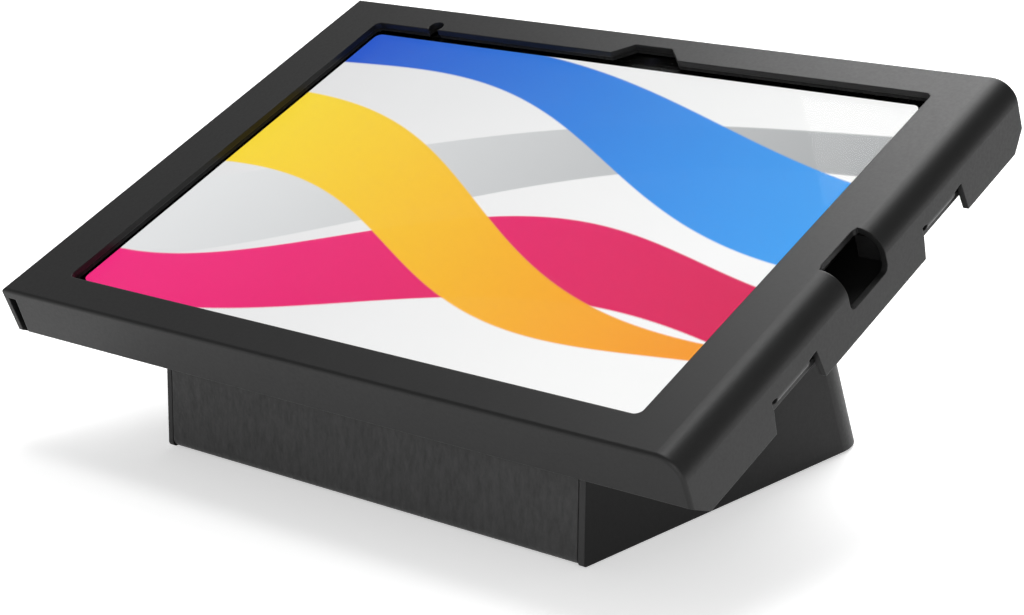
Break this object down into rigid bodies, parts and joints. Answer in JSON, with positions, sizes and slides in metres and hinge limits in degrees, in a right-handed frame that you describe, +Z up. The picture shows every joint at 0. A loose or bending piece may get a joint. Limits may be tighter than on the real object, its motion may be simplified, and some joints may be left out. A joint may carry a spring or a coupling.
{
  "type": "tablet kiosk mount",
  "caption": "Sloped steel counter mount with a locked case that holds a tablet behind a window, with a charging cut-out at one side.",
  "frame": {"origin": "centre of the overall box at the surface that the feet stand on", "axes": "+X to the right along the wide side, seen from the front; +Y to the back; +Z up"},
  "size_m": [0.273, 0.1892, 0.1297],
  "materials": {
    "powder_coat": "satin fine powder coat",
    "base_coat": "satin powder coat",
    "grained_coat": "fine grained powder coat",
    "black_foam": "matte foam",
    "black_plastic": "matte",
    "zinc_steel": "zinc plated",
    "dark_steel": "black oxide",
    "screen_glass": "polished",
    "gasket_black": "matte",
    "screen_picture": "lit display",
    "lens_black": "gloss",
    "tablet_shell": "fine blasted",
    "tablet_button": "satin",
    "socket_steel": "satin",
    "foot_rubber": "matte"
  },
  "bodies": {
    "base": {"base_shell": "base_coat", "top_plate": "base_coat", "foot_plate": "grained_coat", "corner_brackets": "zinc_steel", "foot_screws": "dark_steel", "rubber_feet": "foot_rubber", "cable_grommet": "foot_rubber", "vesa_nuts": "zinc_steel", "vesa_washers": "zinc_steel", "vesa_screws": "dark_steel", "back_tray": "powder_coat", "rear_pads": "black_foam", "side_spacers": "black_plastic", "security_screws": "dark_steel"},
    "cover": {"front_cover": "powder_coat", "cover_liner": "black_foam", "clinch_nuts": "zinc_steel"},
    "tablet": {"tablet_glass": "screen_glass", "display_gasket": "gasket_black", "display_panel": "screen_picture", "tablet_body": "tablet_shell", "charge_socket": "socket_steel", "camera_module": "lens_black"},
    "power_key": {"power_button": "tablet_button"},
    "volume_down_key": {"volume_down_button": "tablet_button"},
    "volume_up_key": {"volume_up_button": "tablet_button"}
  },
  "joints": [
    {"name": "cover_lift", "type": "slide", "parent": "base", "child": "cover", "axis": [0, -0.4147, 0.91], "range_m": [0, 0.06]},
    {"name": "tablet_lift", "type": "slide", "parent": "base", "child": "tablet", "axis": [0, -0.4147, 0.91], "range_m": [0, 0.06]},
    {"name": "power_press", "type": "slide", "parent": "tablet", "child": "power_key", "axis": [1, 0, 0], "range_m": [0, 0.0003], "stiffness_N_per_m": 400, "springref_m": -0.0005},
    {"name": "volume_down_press", "type": "slide", "parent": "tablet", "child": "volume_down_key", "axis": [1, 0, 0], "range_m": [0, 0.0003], "stiffness_N_per_m": 400, "springref_m": -0.0005},
    {"name": "volume_up_press", "type": "slide", "parent": "tablet", "child": "volume_up_key", "axis": [1, 0, 0], "range_m": [0, 0.0003], "stiffness_N_per_m": 400, "springref_m": -0.0005}
  ],
  "couplings": [
    {"joint": "tablet_lift", "follows": "cover_lift", "ratio": 1}
  ]
}
